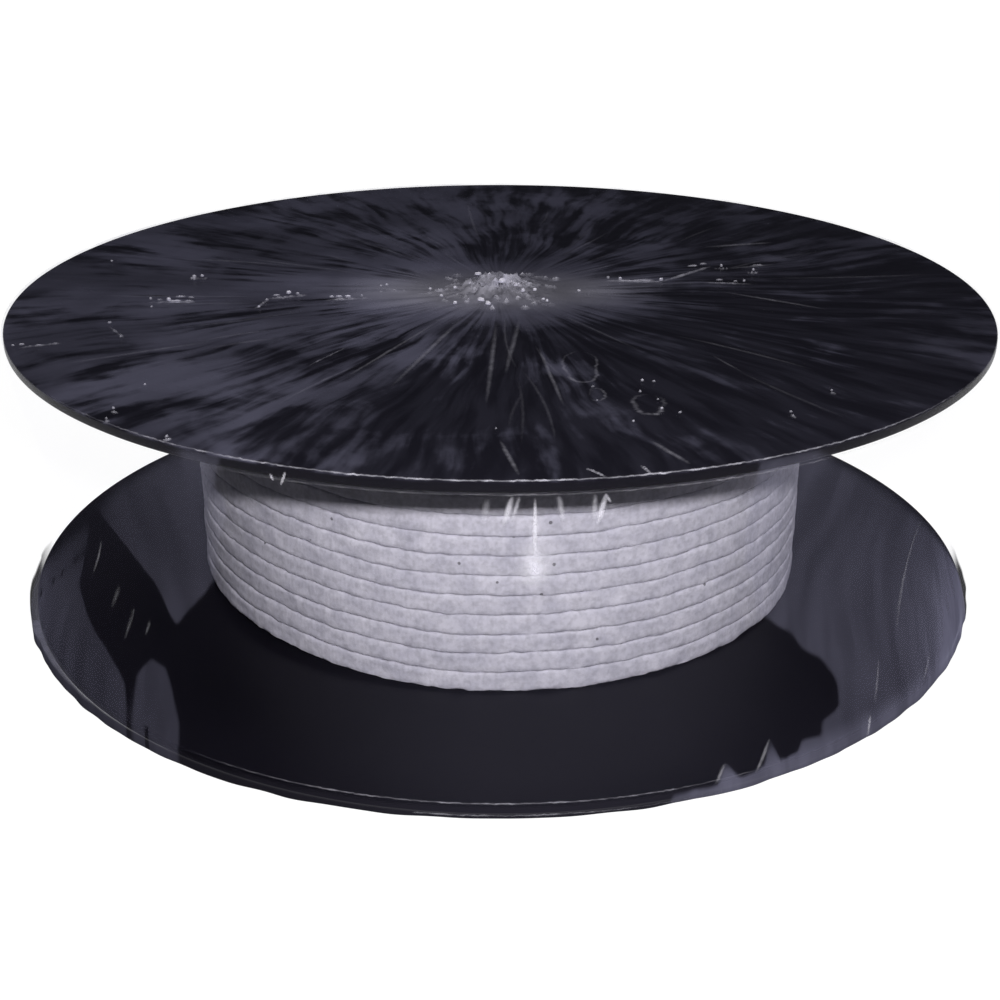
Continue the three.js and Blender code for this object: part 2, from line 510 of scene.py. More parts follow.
# White braid: little slanting plaits across each face, dull, with a few specks
braid = bpy.data.materials.new("braided_white")
tree = nodes_of(braid)
coordinates = add_node(tree, "ShaderNodeTexCoord").outputs
place = coordinates["Object"]
parts = add_node(tree, "ShaderNodeSeparateXYZ", {"Vector": coordinates["UV"]}).outputs
plait_length = 0.0021
plaits_per_lap = round(math.tau * winding_radius / plait_length)
columns_per_face = 3
along = calculate(tree, "MULTIPLY", parts["X"], plaits_per_lap * math.tau)
across = calculate(
    tree,
    "MULTIPLY",
    parts["Y"],
    (turns_across + 2 * spare_turns) * columns_per_face * math.pi,
)
rising = calculate(tree, "SINE", calculate(tree, "ADD", along, across))
falling = calculate(tree, "SINE", calculate(tree, "SUBTRACT", along, across))
plait = calculate(tree, "MULTIPLY", rising, falling)
mottle = uneven(tree, place, 200.0, 4.0)
fluff = uneven(tree, place, 1400.0, 3.0)
tone = add_node(tree, "ShaderNodeValToRGB", {"Fac": mottle})
tone.color_ramp.elements[0].position = 0.3
tone.color_ramp.elements[0].color = (0.50, 0.49, 0.575, 1)
tone.color_ramp.elements[1].position = 0.7
tone.color_ramp.elements[1].color = (0.66, 0.645, 0.73, 1)
specks_per_metre = 160.0
speck_size = 0.07
speck_rarity = 0.45
cells = add_node(tree, "ShaderNodeTexVoronoi", {"Vector": place, "Scale": specks_per_metre})
chosen = add_node(tree, "ShaderNodeSeparateColor", {"Color": cells.outputs["Color"]})
rare = calculate(tree, "GREATER_THAN", chosen.outputs["Red"], speck_rarity)
close = calculate(tree, "LESS_THAN", cells.outputs["Distance"], speck_size)
speck = calculate(tree, "MULTIPLY", rare, close)
in_turn = calculate(tree, "MULTIPLY", parts["Y"], turns_across + 2 * spare_turns)
off_groove = calculate(tree, "PINGPONG", in_turn, 0.5)
colour = add_node(
    tree,
    "ShaderNodeMixRGB",
    {
        "Fac": calculate(tree, "MULTIPLY", speck, 0.7),
        "Color1": tone.outputs["Color"],
        "Color2": (0.05, 0.045, 0.05, 1),
    },
)
height = calculate(tree, "ADD", calculate(tree, "MULTIPLY", plait, 0.28), fluff)
weave = add_node(
    tree, "ShaderNodeBump", {"Height": height, "Strength": 0.5, "Distance": 0.00012}
).outputs["Normal"]
# Painted shade darkens the grooves between turns, more in some places than others, and small pits
# show between the plaits
groove_width = 0.13
pits = uneven(tree, place, 420.0, 1.0)
small_pits = uneven(tree, place, 760.0, 2.0)
groove_painted_shade = ramp(tree, pits, 0.38, 0.62, 0.45, 0.90, "LINEAR")
face_shade = ramp(tree, small_pits, 0.30, 0.60, 0.84, 1.05, "LINEAR")
groove_shade = ramp(tree, off_groove, 0.0, groove_width, groove_painted_shade, face_shade)
shaded = add_node(
    tree,
    "ShaderNodeMixRGB",
    {"Fac": 1.0, "Color1": colour.outputs["Color"], "Color2": groove_shade},
    blend_type="MULTIPLY",
)
shader = add_node(
    tree,
    "ShaderNodeBsdfPrincipled",
    {"Base Color": shaded.outputs["Color"], "Roughness": 0.85, "Normal": weave},
)
finish_material(tree, shader.outputs["BSDF"])
winding.data.materials.append(braid)
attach(winding, "root")
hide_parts("packing_winding")


# The clear film is shrunk over both faces and round the side. It lies on the upper disc in radial
# creases, draws in between the discs, and gathers in the middle of each face, in a crumpled knot
# on the upper one.
film_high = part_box("film_wrap")[1]
film_gap = 0.0004
film_rim = flange_radius + film_gap
film_top = upper_high[2] + film_gap
film_underside = 0.00015
film_corner = 0.00045
film_neck = 0.007
rim_slack = 0.0005
left_slack = 0.0011
top_gather = 0.0012
bottom_gather = 0.005
knot_height = 0.0025
knot_reach = 0.017
film_columns = 760
film_rows = 124
top_share, rim_share, side_share, hem_share = 0.56, 0.60, 0.90, 0.94


def hem_slack(angle):
    """How far the film's lower edge stands off the disc, which is most at the left."""
    degrees = (np.degrees(angle) + 180) % 360 - 180
    left = smooth_step(degrees, -95, -66) * (1 - smooth_step(degrees, -36, 5))
    return rim_slack + left_slack * left


def side_radius(side, angle):
    """The film's radius between the discs, from 0 at the top to 1 at the bottom."""
    neck = film_neck * 0.5 * (1 - np.cos(math.tau * side))
    return film_rim - neck + hem_slack(angle) * smooth_step(side, 0.3, 1.0)


def film_shape(lap, share):
    angle = lap * math.tau
    top = np.clip(share / top_share, 0, 1)
    rim = np.clip((share - top_share) / (rim_share - top_share), 0, 1)
    side = np.clip((share - rim_share) / (side_share - rim_share), 0, 1)
    hem = np.clip((share - side_share) / (hem_share - side_share), 0, 1)
    under = np.clip((share - hem_share) / (1 - hem_share), 0, 1)

    radius = top_gather + (film_rim - film_corner - top_gather) * top ** 1.35
    bend = film_corner * np.sin(rim * math.pi / 2)
    radius = np.where(rim > 0, film_rim - film_corner + bend, radius)
    radius = np.where(side > 0, side_radius(side, angle), radius)
    widest = film_rim + hem_slack(angle)
    tuck = widest - film_corner * (1 - np.cos(hem * math.pi / 2))
    radius = np.where(hem > 0, tuck, radius)
    floor_edge = widest - film_corner
    radius = np.where(under > 0, floor_edge - (floor_edge - bottom_gather) * under, radius)

    height = film_top - film_corner * (1 - np.cos(rim * math.pi / 2))
    drop = film_top - film_corner - (film_underside + film_corner)
    height = height - drop * side - film_corner * np.sin(hem * math.pi / 2)

    x, y = np.sin(angle), -np.cos(angle)
    knot = 1 - smooth_step(radius, top_gather, knot_reach)
    twist = 2.6 * (1 - smooth_step(radius, 0.0, 0.020))
    pleats = np.cos(15 * (angle + twist) + 2 * np.sin(3 * angle))
    coarse = ripples(x * radius, y * radius, angle * 0, 18, 0.0068, 13)
    crumple = ripples(x * radius, y * radius, angle * 0, 24, 0.0032, 14)
    rise = knot * (knot_height + 0.0009 * pleats + 0.0011 * coarse + 0.0007 * crumple)
    waves = ripples(x, y, radius * 4, 26, 0.22, 17)
    reach = smooth_step(radius, 0.010, 0.03) * (1 - smooth_step(radius, 0.118, 0.125))
    rise = rise + 0.00022 * reach * (1 + waves)
    height = height + np.where(top < 1, np.maximum(rise, -0.0001), 0)

    slack_waves = np.clip(1 + ripples(x, y, angle * 0, 30, 0.10, 19), 0, 2.2)
    lower = smooth_step(side, 0.55, 1.0)
    radius = radius + np.where(under <= 0, 0.00022 * slack_waves * lower, 0)
    height = np.minimum(height, film_high[2] - 0.0003)
    return radius * x, radius * y, height


film = shaped_grid("shrink_film", film_columns, film_rows, film_shape)
edit(film)
bpy.ops.mesh.select_all(action="SELECT")
bpy.ops.mesh.remove_doubles(threshold=0.000005)
bpy.ops.mesh.normals_make_consistent(inside=False)
bpy.ops.object.mode_set(mode="OBJECT")
bpy.ops.object.shade_smooth()

# The side film carries a painted reflection, pale at both sides and clear at the front. Each
# outline is in degrees round the axis from the front and millimetres up the side.
reflection_left = (
    (-200, -5), (-200, 90), (-23, 90), (-27.2, 69), (-25.9, 66), (-28.5, 54), (-30.2, 44),
    (-33.1, 37), (-35.7, 30.5), (-36.9, 32), (-39.5, 38), (-42, 41), (-48.5, 50.4),
    (-55, 57), (-52.2, 44.6), (-54.5, 26.5), (-50.3, 21), (-45.2, 17.1), (-42, 13.2),
    (-41.3, 7.1), (-41.3, 4), (-41.3, -5),
)
reflection_leaf = (
    (-40.2, -2), (-40.6, 16.4), (-38.8, 21.2), (-36.4, 20.5), (-34.8, 16.1), (-33.7, 10.4),
    (-33.6, -2),
)
reflection_right = (
    (200, -5), (200, 90), (24.5, 90), (23.5, 70.8), (22.9, 68.3), (24.2, 55), (27.5, 37.3),
    (31.3, 31.3), (32.9, 26.5), (35.3, 23.3), (37, 17.2), (36.9, 11.6), (34.2, 9.6),
    (34.4, 6.5), (31.6, 7.4), (31, 5), (28.8, 4.2), (27.6, 9.8), (26.9, 4.6), (24, 3.4),
    (22.4, 7.3), (21.6, 3.0), (17, 2.6), (15, -5),
)


def inside_by(outline, across, along):
    """How far each place lies inside an outline, in millimetres, or outside if negative."""
    points = np.array(outline, float)
    points[:, 0] *= film_rim * 1000 * math.pi / 180
    nearest = np.full(across.shape, 1e9)
    within = np.zeros(across.shape, bool)
    for (ax, ay), (bx, by) in zip(points, np.roll(points, -1, axis=0)):
        dx, dy = bx - ax, by - ay
        share = np.clip(((across - ax) * dx + (along - ay) * dy) / (dx * dx + dy * dy), 0, 1)
        gap = np.hypot(across - ax - share * dx, along - ay - share * dy)
        nearest = np.minimum(nearest, gap)
        crosses = (ay > along) != (by > along)
        at = ax + (along - ay) / (dy if dy else 1e-9) * dx
        within ^= crosses & (across < at)
    return np.where(within, nearest, -nearest)


corners = np.zeros(len(film.data.vertices) * 3, np.float32)
film.data.vertices.foreach_get("co", corners)
corners = corners.reshape(-1, 3).astype(float)
azimuth = np.degrees(np.arctan2(corners[:, 0], -corners[:, 1]))
arc = azimuth * math.pi / 180 * film_rim * 1000
up_side = corners[:, 2] * 1000
reflection_edge = np.maximum(
    inside_by(reflection_left, arc, up_side),
    np.maximum(inside_by(reflection_leaf, arc, up_side), inside_by(reflection_right, arc, up_side)),
)
# Dark slits part the painted reflection, a long leaning one and two short ones at the foot
slit_low, slit_high, slit_half, slit_lean = 12, 34.4, 0.9, 0.56
slit_azimuth = -54.3 - slit_lean * (slit_high - up_side)
slit = (np.abs(azimuth - slit_azimuth) < slit_half) & (up_side > slit_low) & (up_side < slit_high)
for at, low, high, half in ((-41.1, -0.3, 8.3, 0.45), (-38.2, -0.4, 6.9, 0.4)):
    slit |= (np.abs(azimuth - at) < half) & (up_side > low) & (up_side < high)
reflection_edge = np.where(slit, -0.4, reflection_edge)
# The painted reflection is stronger to the right and low down at both sides
right = smooth_step(azimuth, 30, 80)
low_down = 1 - smooth_step(up_side, 6, 36)
level = 0.062 + 0.080 * right
level += 0.200 * smooth_step(-azimuth, 48, 72) * low_down
level += 0.300 * smooth_step(azimuth, 46, 70) * low_down
level += 0.090 * smooth_step(azimuth, 14, 22) * (1 - smooth_step(up_side, 3, 8))
# The painted reflection stops above a line that falls towards each side, and is faint behind
level = np.where(np.abs(azimuth) > 100, 0.045, level)
line_azimuth = (0, 30, 60, 66, 69, 73, 140, 158)
line_height = (100, 76, 35, 24.5, 17, -4, -4, 100)
reflection_line = np.interp(np.abs(azimuth), line_azimuth, line_height)
reflection_line -= 3 * smooth_step(-azimuth, 40, 52)
level *= 1 - 0.99 * smooth_step(up_side - reflection_line, -1.5, 1.5)
level *= 1 - 0.85 * smooth_step(up_side, 75.6, 76.8)  # and thin at the upper edge
for name, values in (("reflection_edge", reflection_edge), ("reflection_level", level)):
    layer = film.data.attributes.new(name, "FLOAT", "POINT")
    layer.data.foreach_set("value", values.astype(np.float32))

# Clear film: see-through with a sharp gloss, and pale in streaks that run out from the gather,
# partly milk where it stands off the plastic and partly painted reflection, and with painted
# reflection down the two sides
film_look = bpy.data.materials.new("shrunk_clear_film")
tree = nodes_of(film_look)


def times(tree, *values):
    product = values[0]
    for value in values[1:]:
        product = calculate(tree, "MULTIPLY", product, value)
    return product


def streak_space(tree, way, reach, stretch):
    """Coordinates in which a noise is drawn out along the radius."""
    outward = add_node(
        tree, "ShaderNodeCombineXYZ", {"Z": calculate(tree, "MULTIPLY", reach, stretch)}
    )
    return vector_math(tree, "ADD", way, outward.outputs[0])


place = add_node(tree, "ShaderNodeTexCoord").outputs["Object"]
parts = add_node(tree, "ShaderNodeSeparateXYZ", {"Vector": place}).outputs
level = vector_math(tree, "MULTIPLY", place, (1, 1, 0))
reach = vector_math(tree, "LENGTH", level)
drift = add_node(tree, "ShaderNodeTexNoise", {"Vector": place, "Scale": 16.0, "Detail": 2.0})
drift = vector_math(tree, "SUBTRACT", drift.outputs["Color"], (0.5, 0.5, 0.5))
drift = vector_math(tree, "MULTIPLY", drift, (0.018, 0.018, 0))
drift = vector_math(tree, "MULTIPLY", drift, ramp(tree, reach, 0.0, 0.07))
way = vector_math(tree, "NORMALIZE", vector_math(tree, "ADD", level, drift))
way_parts = add_node(tree, "ShaderNodeSeparateXYZ", {"Vector": way}).outputs
on_top = ramp(tree, parts["Z"], film_top - 0.0009, film_top - 0.0002)
off_top = calculate(tree, "SUBTRACT", 1.0, on_top)

arms = uneven(tree, streak_space(tree, way, reach, 4.6), 5.6, 5.0, 0.55, 0.25)
fine_streaks = uneven(tree, streak_space(tree, way, reach, 1.5), 26.0, 3.0, 0.5, 0.1)
blotches = uneven(tree, place, 62.0, 3.0, 0.5, 0.8)
# Painted reflection makes the top's milk heavier at the left, and the front right is the clearest
painted_light_lean = times(tree, way_parts["X"], -0.048)
across_front = times(tree, way_parts["X"], 0.34)
to_front = calculate(tree, "SUBTRACT", across_front, times(tree, way_parts["Y"], 0.94))
painted_light_lean = calculate(tree, "ADD", painted_light_lean, ramp(tree, to_front, 0.55, 1.0, 0.0, -0.075))
painted_light_lean = calculate(tree, "MULTIPLY", painted_light_lean, ramp(tree, reach, 0.01, 0.06))
# The folds that run left and right of the gather face the light, so a painted sheen there reaches
# further out than in front of it and behind it
drawn_out = vector_math(tree, "MULTIPLY", level, (0.60, 1.25, 0))
near_gather = vector_math(tree, "LENGTH", drawn_out)
painted_sheen_pull = ramp(tree, near_gather, 0.006, 0.050, 0.10, -0.004)
arm_share, fine_share, blotch_share = 0.46, 0.30, 0.24
score = calculate(
    tree, "ADD", times(tree, arms, arm_share), times(tree, fine_streaks, fine_share)
)
score = calculate(tree, "ADD", score, times(tree, blotches, blotch_share))
score = calculate(tree, "ADD", score, painted_light_lean)
# Close to the gather the milk is even, and further out it parts into streaks
parted = ramp(tree, reach, 0.010, 0.055, 0.40, 1.0)
middle_score, patch_edge = 0.495, 0.065
score = times(tree, calculate(tree, "SUBTRACT", score, middle_score), parted)
patches = ramp(tree, calculate(tree, "ADD", score, painted_sheen_pull), -patch_edge, patch_edge)
thickness = ramp(tree, uneven(tree, place, 24.0, 4.0), 0.35, 0.65, 0.45, 1.1)
painted_light_to_left = ramp(tree, way_parts["X"], -0.7, 0.7, 1.05, 0.80)
middle = ramp(tree, near_gather, 0.005, 0.042, 3.3, 1.0)
# The top's streaks are partly milk where the film stands off the plastic and partly painted
# reflection
streak_haze_and_reflection, veil_reflection, front_reflection_haze = 0.122, 0.025, 0.011
top_milk_and_reflection = times(tree, patches, thickness, painted_light_to_left, middle, on_top, streak_haze_and_reflection)

# The attributes hold where the side film carries its painted reflection, and how much
edge = add_node(tree, "ShaderNodeAttribute", attribute_name="reflection_edge").outputs["Fac"]
reflection_amount = add_node(tree, "ShaderNodeAttribute", attribute_name="reflection_level").outputs["Fac"]
side_streaks = uneven(tree, streak_space(tree, way, parts["Z"], 2.0), 26.0, 3.0)
fray = times(tree, calculate(tree, "SUBTRACT", side_streaks, 0.5), 1.6)
frayed = calculate(tree, "ADD", edge, fray)
side_reflection = times(tree, ramp(tree, frayed, -0.6, 0.8), reflection_amount, off_top)
side_reflection = times(tree, side_reflection, ramp(tree, side_streaks, 0.33, 0.67, 0.90, 1.26))
# Painted reflection: an even pale cover over the whole top, and a faint one over the foot of the
# side at the front
painted_veil = times(tree, ramp(tree, fine_streaks, 0.35, 0.65, 0.35, 1.0), on_top, veil_reflection)
front = times(
    tree,
    ramp(tree, way_parts["X"], -0.50, 0.0),
    ramp(tree, way_parts["X"], 0.75, 0.15),
    ramp(tree, way_parts["Y"], -0.2, -0.8),
    ramp(tree, parts["Z"], 0.045, 0.025),
    front_reflection_haze,
)
milk_and_reflection = calculate(tree, "ADD", calculate(tree, "ADD", top_milk_and_reflection, side_reflection), front)
milk_and_reflection = calculate(tree, "ADD", milk_and_reflection, painted_veil)

waviness = uneven(tree, streak_space(tree, way, reach, 4.0), 11.0, 2.0)
puckers = add_node(
    tree, "ShaderNodeBump", {"Height": waviness, "Strength": 0.5, "Distance": 0.0008}
).outputs["Normal"]
clear = add_node(tree, "ShaderNodeBsdfTransparent", {"Color": (0.998, 0.998, 0.999, 1)})
gloss = add_node(
    tree,
    "ShaderNodeBsdfGlossy",
    {"Color": (0.70, 0.68, 0.96, 1), "Roughness": 0.20, "Normal": puckers},
)
tint = add_node(
    tree,
    "ShaderNodeMixRGB",
    {
        "Fac": ramp(tree, near_gather, 0.006, 0.034),
        "Color1": (0.80, 0.79, 0.90, 1),
        "Color2": (0.68, 0.68, 0.94, 1),
    },
).outputs["Color"]
milk = add_node(tree, "ShaderNodeBsdfDiffuse", {"Color": tint})
fresnel = add_node(tree, "ShaderNodeFresnel", {"IOR": 1.4}).outputs[0]
shine_share, most_shine = 0.07, 0.008
shine = calculate(tree, "MINIMUM", times(tree, fresnel, shine_share), most_shine)
# Pulled tight round the upper disc's edge, the film is flat and shows little shine
tight = times(tree, ramp(tree, parts["Z"], film_top - 0.0011, film_top - 0.0001), off_top)
shine = times(tree, shine, ramp(tree, tight, 0.0, 1.0, 1.0, 0.2))
# At the foot on the near side the slack hem is painted as dark as the disc: painted shade at the
# disc's foot
hem_painted_shade = add_node(tree, "ShaderNodeBsdfDiffuse", {"Color": (0.012, 0.011, 0.016, 1)})
hem = ramp(tree, parts["Z"], 0.0026, 0.0042, 0.96, 0.0)
hem = times(tree, hem, ramp(tree, reach, 0.1235, 0.1250))
hem = times(tree, hem, ramp(tree, way_parts["Y"], 0.02, -0.12))
thin = mixed(tree, hem, clear, hem_painted_shade)
skin = mixed(tree, shine, mixed(tree, milk_and_reflection, thin, milk), gloss)
finish_material(tree, skin.outputs[0])
film.data.materials.append(film_look)
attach(film, "root")
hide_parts("film_wrap")


# The sharp creases are places where the film has folded over on itself. They stand up a little
# from it, whiter and glossier; their pale colour is partly the folded film and partly painted
# highlight, and the bright beads on them are painted highlights.
crease_steps = 26
bead_steps = 9
crease_profile = np.array([-1, -0.72, -0.45, -0.2, 0.0, 0.2, 0.45, 0.72, 1])


def fold_of_film(path, width, height, fold_white_and_highlight, seed, beads=0.0):
    """A narrow closed fold along a path of (right, back, up) places and an up vector."""
    places, ups = path
    steps = len(places)
    dice = np.random.default_rng(seed)
    share = np.linspace(0, 1, steps)
    taper = np.sqrt(np.clip(4 * share * (1 - share), 0, 1)) ** 0.8
    along = np.gradient(places, axis=0)
    along /= np.linalg.norm(along, axis=1, keepdims=True)
    aside = np.cross(along, ups)
    ragged = dice.normal(0, 0.15 * beads + 0.01, steps) * width
    bead = np.clip(dice.normal(0, 1, steps), 0, 1.6)
    bead = np.convolve(np.pad(bead, 1, mode="edge"), (0.25, 0.5, 0.25), mode="valid")
    swell = 1 - beads + beads * 1.5 * bead
    points, white = [], []
    for i in range(steps):
        half = width / 2 * (0.2 + 0.8 * taper[i]) * (0.7 + 0.3 * swell[i])
        crest = height * taper[i] * (0.4 + 0.6 * swell[i])
        middle = places[i] + aside[i] * ragged[i]
        for u in crease_profile:
            lift = crest * (1 - abs(u)) ** 1.3
            points.append(middle + aside[i] * (u * half) + ups[i] * lift)
            white.append(fold_white_and_highlight * taper[i] ** 2.5 * swell[i] * (1 - u * u) ** 2)
        for u in crease_profile[-2:0:-1]:
            points.append(middle + aside[i] * (u * half) - ups[i] * 0.00004)
            white.append(fold_white_and_highlight * taper[i] ** 2.5 * swell[i] * (1 - u * u) ** 2)
    round_count = 2 * len(crease_profile) - 2
    faces = []
    for i in range(steps - 1):
        for k in range(round_count):
            a, b = i * round_count + k, i * round_count + (k + 1) % round_count
            faces.append((a, b, b + round_count, a + round_count))
    faces.append(tuple(range(round_count - 1, -1, -1)))
    faces.append(tuple(range((steps - 1) * round_count, steps * round_count)))
    return points, faces, white


def upright(count):
    return np.tile((0, 0, 1.0), (count, 1))


def on_the_top(start_radius, start_azimuth, end_radius, end_azimuth, bow=0.0):
    share = np.linspace(0, 1, crease_steps)
    a, b = math.radians(start_azimuth), math.radians(end_azimuth)
    start = np.array((math.sin(a) * start_radius, -math.cos(a) * start_radius, 0))
    end = np.array((math.sin(b) * end_radius, -math.cos(b) * end_radius, 0))
    aside = np.cross(end - start, (0, 0, 1.0))
    places = start + (end - start) * share[:, None]
    places = places + aside * (bow * 4 * share * (1 - share))[:, None]
    places = places / 1000 + np.array((0, 0, film_top))
    return places, upright(crease_steps)


def short_fold(right, back, up, length, heading):
    """A short level path centred on a place, in millimetres and degrees."""
    turn = math.radians(heading)
    way_along = np.array((math.cos(turn), math.sin(turn), 0)) * length
    steps_along = np.linspace(-0.5, 0.5, bead_steps)[:, None]
    places = np.array((right, back, up)) + steps_along * way_along
    return places / 1000, upright(bead_steps)


def down_the_side(azimuth_top, height_top, azimuth_low, height_low, bunch=1.0):
    """A path down the side, with most of its points near the foot if bunch is under 1."""
    share = np.linspace(0, 1, crease_steps) ** bunch
    angle = np.radians(azimuth_top + (azimuth_low - azimuth_top) * share)
    height = (height_top + (height_low - height_top) * share) / 1000
    side = np.clip((film_top - film_corner - height) / (film_top - 2 * film_corner), 0, 1)
    radius = side_radius(side, angle) + 0.00010
    outward = np.stack((np.sin(angle), -np.cos(angle), np.zeros(crease_steps)), axis=1)
    places = outward * radius[:, None]
    places[:, 2] = height
    return places, outward


creases = []


def add_folds(path_of, folds):
    """Adds a crease for each (spot, width, height, whiteness, beads)."""
    for spot, width, height, fold_white_and_highlight, beads in folds:
        creases.append((path_of(*spot), width, height, fold_white_and_highlight, beads))


def add_bead(spot, length, size, heading, width_share, height_share, fold_white_and_highlight):
    path = short_fold(*spot, 0.62 * length, heading)
    creases.append((path, width_share * size, height_share * size, fold_white_and_highlight, 0.0))


# Down both sides of the gather the folds lie level with the light, and their sparkle is painted
# highlight
top_folds = (
    ((91, -83, 78, -82.3), 1.5, 0.48, 0.5, 0.8),
    ((84, -97.4, 79, -97.8), 1.6, 0.60, 0.7, 0.9),
    ((64, -75, 60, -82), 1.2, 0.42, 0.3, 0.7),
    ((60, -82.5, 50, -85), 1.5, 0.48, 0.6, 0.8),
    ((46, -78.8, 34, -78.2), 1.2, 0.42, 0.5, 0.6),
    ((33, -95, 24, -83), 1.6, 0.48, 0.3, 0.6),
    ((22, -78, 12, -100), 2.2, 0.60, 0.4, 0.8),
    ((29, 108, 44, 100.4), 0.9, 0.54, 0.6, 0.3),
    ((43, 100.6, 63, 112.5), 1.6, 0.42, 0.4, 0.3),
    ((62, 110, 66, 108.6), 1.2, 0.54, 0.4, 0.9),
    ((69, 104.3, 72, 103.5), 1.2, 0.54, 0.5, 0.9),
    ((54, 98.2, 67, 95.4), 0.8, 0.36, 0.3, 0.5),
    ((66, 109, 80, 108.7), 1.0, 0.30, 0.2, 0.5),
    ((73, 127, 93, 122), 1.8, 0.30, 0.15, 0.1),
    ((57, 90, 84, 79), 1.1, 0.24, 0.12, 0.2),
    ((100, -72, 98, -66), 0.9, 0.36, 0.3, 0.7),
    ((122.5, -67.2, 112, -67), 0.9, 0.30, 0.3, 0.8),
    ((74, -36, 58, -38), 0.7, 0.24, 0.2, 0.6),
    ((24, -22, 78, -18), 1.6, 0.18, 0.10, 0.1),
    ((30, -30, 76, -27), 1.2, 0.18, 0.10, 0.2),
    ((27, -2, 84, -2), 1.5, 0.18, 0.10, 0.1),
    ((25, 11, 65, 1), 1.6, 0.18, 0.10, 0.1),
    ((47, 11, 86, 9), 1.2, 0.18, 0.10, 0.1),
    ((105, 0, 123, 1.7), 1.3, 0.18, 0.12, 0.1),
    ((109, 16, 123, 17.5), 1.6, 0.24, 0.12, 0.2),
    ((105, 43, 106.5, 43), 1.0, 0.36, 0.3, 0.6),
    ((109, 34, 111, 33.6), 0.9, 0.36, 0.3, 0.6),
)
add_folds(on_the_top, top_folds)
# The gather itself: short stiff folds crossing one another
gather_folds = 44
gather_reach = 18
dice = np.random.default_rng(8)
for _ in range(gather_folds):
    radius = gather_reach * math.sqrt(dice.uniform(0.01, 1))
    azimuth = dice.uniform(0, 360)
    length = dice.uniform(2.5, 6.5)
    places, ups = on_the_top(radius, azimuth, radius + 0.01, azimuth + 0.01)
    heading = dice.uniform(0, math.tau)
    steps_out = np.linspace(-0.5, 0.5, crease_steps) * length / 1000
    places = places + np.outer(steps_out, (math.cos(heading), 0.55 * math.sin(heading), 0))
    from_middle = np.hypot(places[:, 0], places[:, 1])
    mound = 1 - smooth_step(from_middle, 0.001, knot_reach)
    places[:, 2] += knot_height * mound * dice.uniform(0.8, 1.15)
    places[:, 2] = np.minimum(places[:, 2], film_high[2] - 0.0012)
    brightness = dice.uniform(0.25, 0.95) ** 1.5 * (1 - radius / 28)
    creases.append(((places, ups), dice.uniform(1.0, 2.2), 0.8, brightness, 0.6))
# Painted highlights: bright beads where such a fold is bent over towards the light
top_mm = film_top * 1000
for radius, azimuth, length, size, heading in (
    (83, -98.6, 2.0, 2.4, 10), (81.2, -99.4, 1.8, 2.0, 0), (90, -85, 1.3, 1.9, 20),
    (85.3, -84.1, 2.2, 2.6, 0), (82.6, -85.8, 4.6, 1.3, 6), (79.8, -85.2, 3.0, 1.2, -8),
    (87.6, -84.3, 2.6, 1.1, 0), (89.3, -80.5, 1.1, 1.4, 30), (62.7, -76.5, 1.4, 1.5, 40),
    (60.4, -81.8, 1.6, 1.5, 20), (58.0, -85.4, 3.6, 1.4, 12), (55, -87.6, 2.4, 2.5, 8),
    (52.6, -86.5, 1.8, 1.8, 0), (43.8, -82.3, 2.4, 1.6, 0), (42, -82, 3.4, 1.7, 0),
    (39.7, -81.6, 3.0, 2.2, 0), (36.1, -82.2, 1.4, 1.6, 0), (31.7, -97.6, 1.5, 1.4, 30),
    (30.4, -99.7, 1.5, 1.5, 0), (31.1, -87.6, 1.4, 1.2, 0), (25.1, -89.2, 1.2, 1.4, 60),
    (31.3, 112.7, 1.5, 1.9, 0), (33.9, 109.1, 1.8, 2.4, 0), (39.5, 104.9, 10.0, 1.0, 0),
    (44.1, 103.4, 2.2, 2.4, 20), (57.9, 114.4, 5.0, 1.4, 12), (61.7, 114.9, 3.6, 1.4, 8),
    (65.3, 111.6, 1.4, 2.0, 0), (71.8, 106.2, 1.4, 2.0, 0), (75.0, 109.4, 5.0, 1.0, 0),
    (59.4, 100, 3.4, 1.2, 0), (63.2, 98.2, 2.0, 1.3, 0), (65.6, 98.2, 1.3, 1.7, 0),
    (111.3, -104.6, 1.4, 1.3, 0), (99.7, -73.7, 1.8, 1.4, 30), (98.6, -66.8, 1.0, 1.4, 80),
    (121.2, -68.2, 2.4, 1.4, 20), (123.2, -68.3, 1.4, 1.2, 0), (119.4, -43.1, 1.2, 1.5, 30),
    (106.4, -47.1, 1.1, 1.2, 0), (124.0, -41.2, 0.9, 1.6, 80), (123.2, -33.1, 1.6, 1.5, 60),
    (76.1, 24.4, 1.3, 1.7, 0), (77.7, 25.9, 1.4, 1.3, 0), (82.2, 21.7, 1.2, 1.5, 60),
    (93.2, 21.5, 1.2, 1.4, 0), (96.7, 23, 1.8, 1.2, 40), (98.2, 16.3, 1.1, 1.3, 0),
    (104.4, 43.7, 1.0, 1.3, 0), (107.6, 34.6, 1.3, 1.1, 0), (88, 22.6, 1.0, 1.0, 0),
    (76, 15.5, 1.6, 1.0, 30), (84.5, 14.2, 1.0, 1.0, 0), (98.4, -0.5, 1.0, 1.2, 80),
):
    turn = math.radians(azimuth)
    spot = (math.sin(turn) * radius, -math.cos(turn) * radius, top_mm)
    add_bead(spot, length, size, heading, 0.52, 0.26, 0.5 * size)
